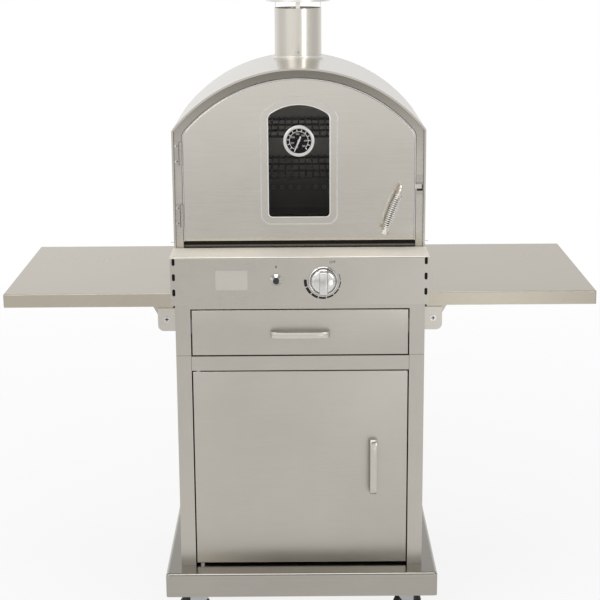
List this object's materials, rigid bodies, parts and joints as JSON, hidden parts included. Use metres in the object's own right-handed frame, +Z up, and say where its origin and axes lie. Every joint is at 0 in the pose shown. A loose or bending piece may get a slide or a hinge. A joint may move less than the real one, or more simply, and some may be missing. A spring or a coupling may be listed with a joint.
{
  "type": "outdoor oven cart",
  "caption": "Freestanding outdoor gas oven with an arched hood and glazed door on a wheeled steel cart with a drawer, a cupboard and fold-down side shelves.",
  "frame": {"origin": "on the floor, under the centre of the base slab and of the spread shelves", "axes": "+X to the right as seen from the front, +Y to the back (the door faces -Y), +Z up"},
  "size_m": [1.563, 0.74, 1.7089],
  "materials": {
    "brushed_stainless": "brushed grain",
    "plain_stainless": "plain rolled",
    "bright_chrome": "polished",
    "black_wheel": "moulded, matt",
    "zinc": "zinc plated",
    "black_button": "moulded",
    "window_glass": "tinted",
    "lens_glass": "clear",
    "needle_white": "painted",
    "valve_brass": "machined",
    "wool": "mineral wool"
  },
  "bodies": {
    "cart": {"base_tray": "brushed_stainless", "base_channels": "plain_stainless", "caster_plates": "zinc", "corner_posts": "brushed_stainless", "side_panels": "brushed_stainless", "back_panel": "plain_stainless", "front_rails": "brushed_stainless", "runner_channels": "zinc", "door_catch": "black_button", "cart_door_pivots": "zinc", "shelf_brackets": "brushed_stainless", "fascia": "brushed_stainless", "badge_plate": "brushed_stainless", "knob_bezel": "bright_chrome", "gas_valve": "valve_brass", "igniter_body": "bright_chrome", "burner_box": "plain_stainless", "gas_pipe": "plain_stainless", "burner": "plain_stainless", "oven_deck": "plain_stainless", "hood_shell": "brushed_stainless", "oven_back": "plain_stainless", "front_ring": "brushed_stainless", "oven_liner": "plain_stainless", "insulation": "wool", "heat_plate": "plain_stainless", "oven_racks": "bright_chrome", "chimney_collar": "plain_stainless", "chimney_pipe": "brushed_stainless", "chimney_cap": "brushed_stainless", "ring_hinges": "brushed_stainless", "latch_keeper": "brushed_stainless", "frame_fasteners": "zinc"},
    "drawer": {"drawer_front": "brushed_stainless", "drawer_box": "plain_stainless", "runner_slides": "zinc", "drawer_pull": "brushed_stainless"},
    "cart_door": {"cart_door_panels": "brushed_stainless", "cart_door_pull": "brushed_stainless"},
    "left_side_shelf": {"left_shelf": "brushed_stainless"},
    "right_side_shelf": {"right_shelf": "brushed_stainless"},
    "oven_door": {"oven_door_panels": "brushed_stainless", "door_glass": "window_glass", "thermometer_case": "bright_chrome", "thermometer_lens": "lens_glass", "door_hinges": "brushed_stainless"},
    "thermometer_needle": {"needle": "needle_white"},
    "oven_handle": {"door_handle": "brushed_stainless", "handle_coil": "brushed_stainless"},
    "gas_valve_stem": {"valve_stem": "zinc"},
    "control_knob": {"knob": "bright_chrome"},
    "igniter_push": {"igniter_button": "black_button"},
    "front_left_swivel": {"front_left_caster_fork": "zinc"},
    "front_left_wheel": {"front_left_caster_wheel": "black_wheel"},
    "front_right_swivel": {"front_right_caster_fork": "zinc"},
    "front_right_wheel": {"front_right_caster_wheel": "black_wheel"},
    "rear_left_swivel": {"rear_left_caster_fork": "zinc"},
    "rear_left_wheel": {"rear_left_caster_wheel": "black_wheel"},
    "rear_right_swivel": {"rear_right_caster_fork": "zinc"},
    "rear_right_wheel": {"rear_right_caster_wheel": "black_wheel"}
  },
  "joints": [
    {"name": "oven_door_hinge", "type": "hinge", "parent": "cart", "child": "oven_door", "pos_m": [-0.314, -0.1805, 1.21], "axis": [0, 0, -1], "range_deg": [0, 110]},
    {"name": "oven_handle_turn", "type": "hinge", "parent": "oven_door", "child": "oven_handle", "pos_m": [0.271, -0.18, 1.211], "axis": [0, 1, 0], "range_deg": [0, 60]},
    {"name": "thermometer_needle_turn", "type": "hinge", "parent": "oven_door", "child": "thermometer_needle", "pos_m": [0, -0.191, 1.328], "axis": [0, 1, 0], "range_deg": [0, 294]},
    {"name": "cart_door_hinge", "type": "hinge", "parent": "cart", "child": "cart_door", "pos_m": [-0.271, -0.299, 0.4565], "axis": [0, 0, -1], "range_deg": [0, 110]},
    {"name": "drawer_slide", "type": "slide", "parent": "cart", "child": "drawer", "axis": [0, -1, 0], "range_m": [0, 0.4]},
    {"name": "left_shelf_fold", "type": "hinge", "parent": "cart", "child": "left_side_shelf", "pos_m": [-0.352, 0.014, 0.87], "axis": [0, -1, 0], "range_deg": [0, 90]},
    {"name": "right_shelf_fold", "type": "hinge", "parent": "cart", "child": "right_side_shelf", "pos_m": [0.352, 0.014, 0.87], "axis": [0, 1, 0], "range_deg": [0, 90]},
    {"name": "gas_valve_turn", "type": "hinge", "parent": "cart", "child": "gas_valve_stem", "pos_m": [0.062, -0.3, 0.975], "axis": [0, -1, 0], "range_deg": [0, 225]},
    {"name": "knob_push", "type": "slide", "parent": "gas_valve_stem", "child": "control_knob", "axis": [0, 1, 0], "range_m": [0, 0.003], "stiffness_N_per_m": 1200},
    {"name": "igniter_push_in", "type": "slide", "parent": "cart", "child": "igniter_push", "axis": [0, 1, 0], "range_m": [0, 0.005], "stiffness_N_per_m": 800},
    {"name": "front_left_caster_swivel", "type": "hinge", "parent": "cart", "child": "front_left_swivel", "pos_m": [-0.27, -0.291, 0.097], "axis": [0, 0, 1], "continuous": true},
    {"name": "front_left_wheel_spin", "type": "hinge", "parent": "front_left_swivel", "child": "front_left_wheel", "pos_m": [-0.296, -0.291, 0.045], "axis": [0, -1, 0], "continuous": true},
    {"name": "front_right_caster_swivel", "type": "hinge", "parent": "cart", "child": "front_right_swivel", "pos_m": [0.27, -0.291, 0.097], "axis": [0, 0, 1], "continuous": true},
    {"name": "front_right_wheel_spin", "type": "hinge", "parent": "front_right_swivel", "child": "front_right_wheel", "pos_m": [0.2913, -0.27609, 0.045], "axis": [-0.5736, 0.8192, 0], "continuous": true},
    {"name": "rear_left_caster_swivel", "type": "hinge", "parent": "cart", "child": "rear_left_swivel", "pos_m": [-0.27, 0.291, 0.097], "axis": [0, 0, 1], "continuous": true},
    {"name": "rear_left_wheel_spin", "type": "hinge", "parent": "rear_left_swivel", "child": "rear_left_wheel", "pos_m": [-0.28099, 0.31456, 0.045], "axis": [-0.9063, -0.4226, 0], "continuous": true},
    {"name": "rear_right_caster_swivel", "type": "hinge", "parent": "cart", "child": "rear_right_swivel", "pos_m": [0.27, 0.291, 0.097], "axis": [0, 0, 1], "continuous": true},
    {"name": "rear_right_wheel_spin", "type": "hinge", "parent": "rear_right_swivel", "child": "rear_right_wheel", "pos_m": [0.27889, 0.31543, 0.045], "axis": [-0.9397, 0.342, 0], "continuous": true}
  ]
}
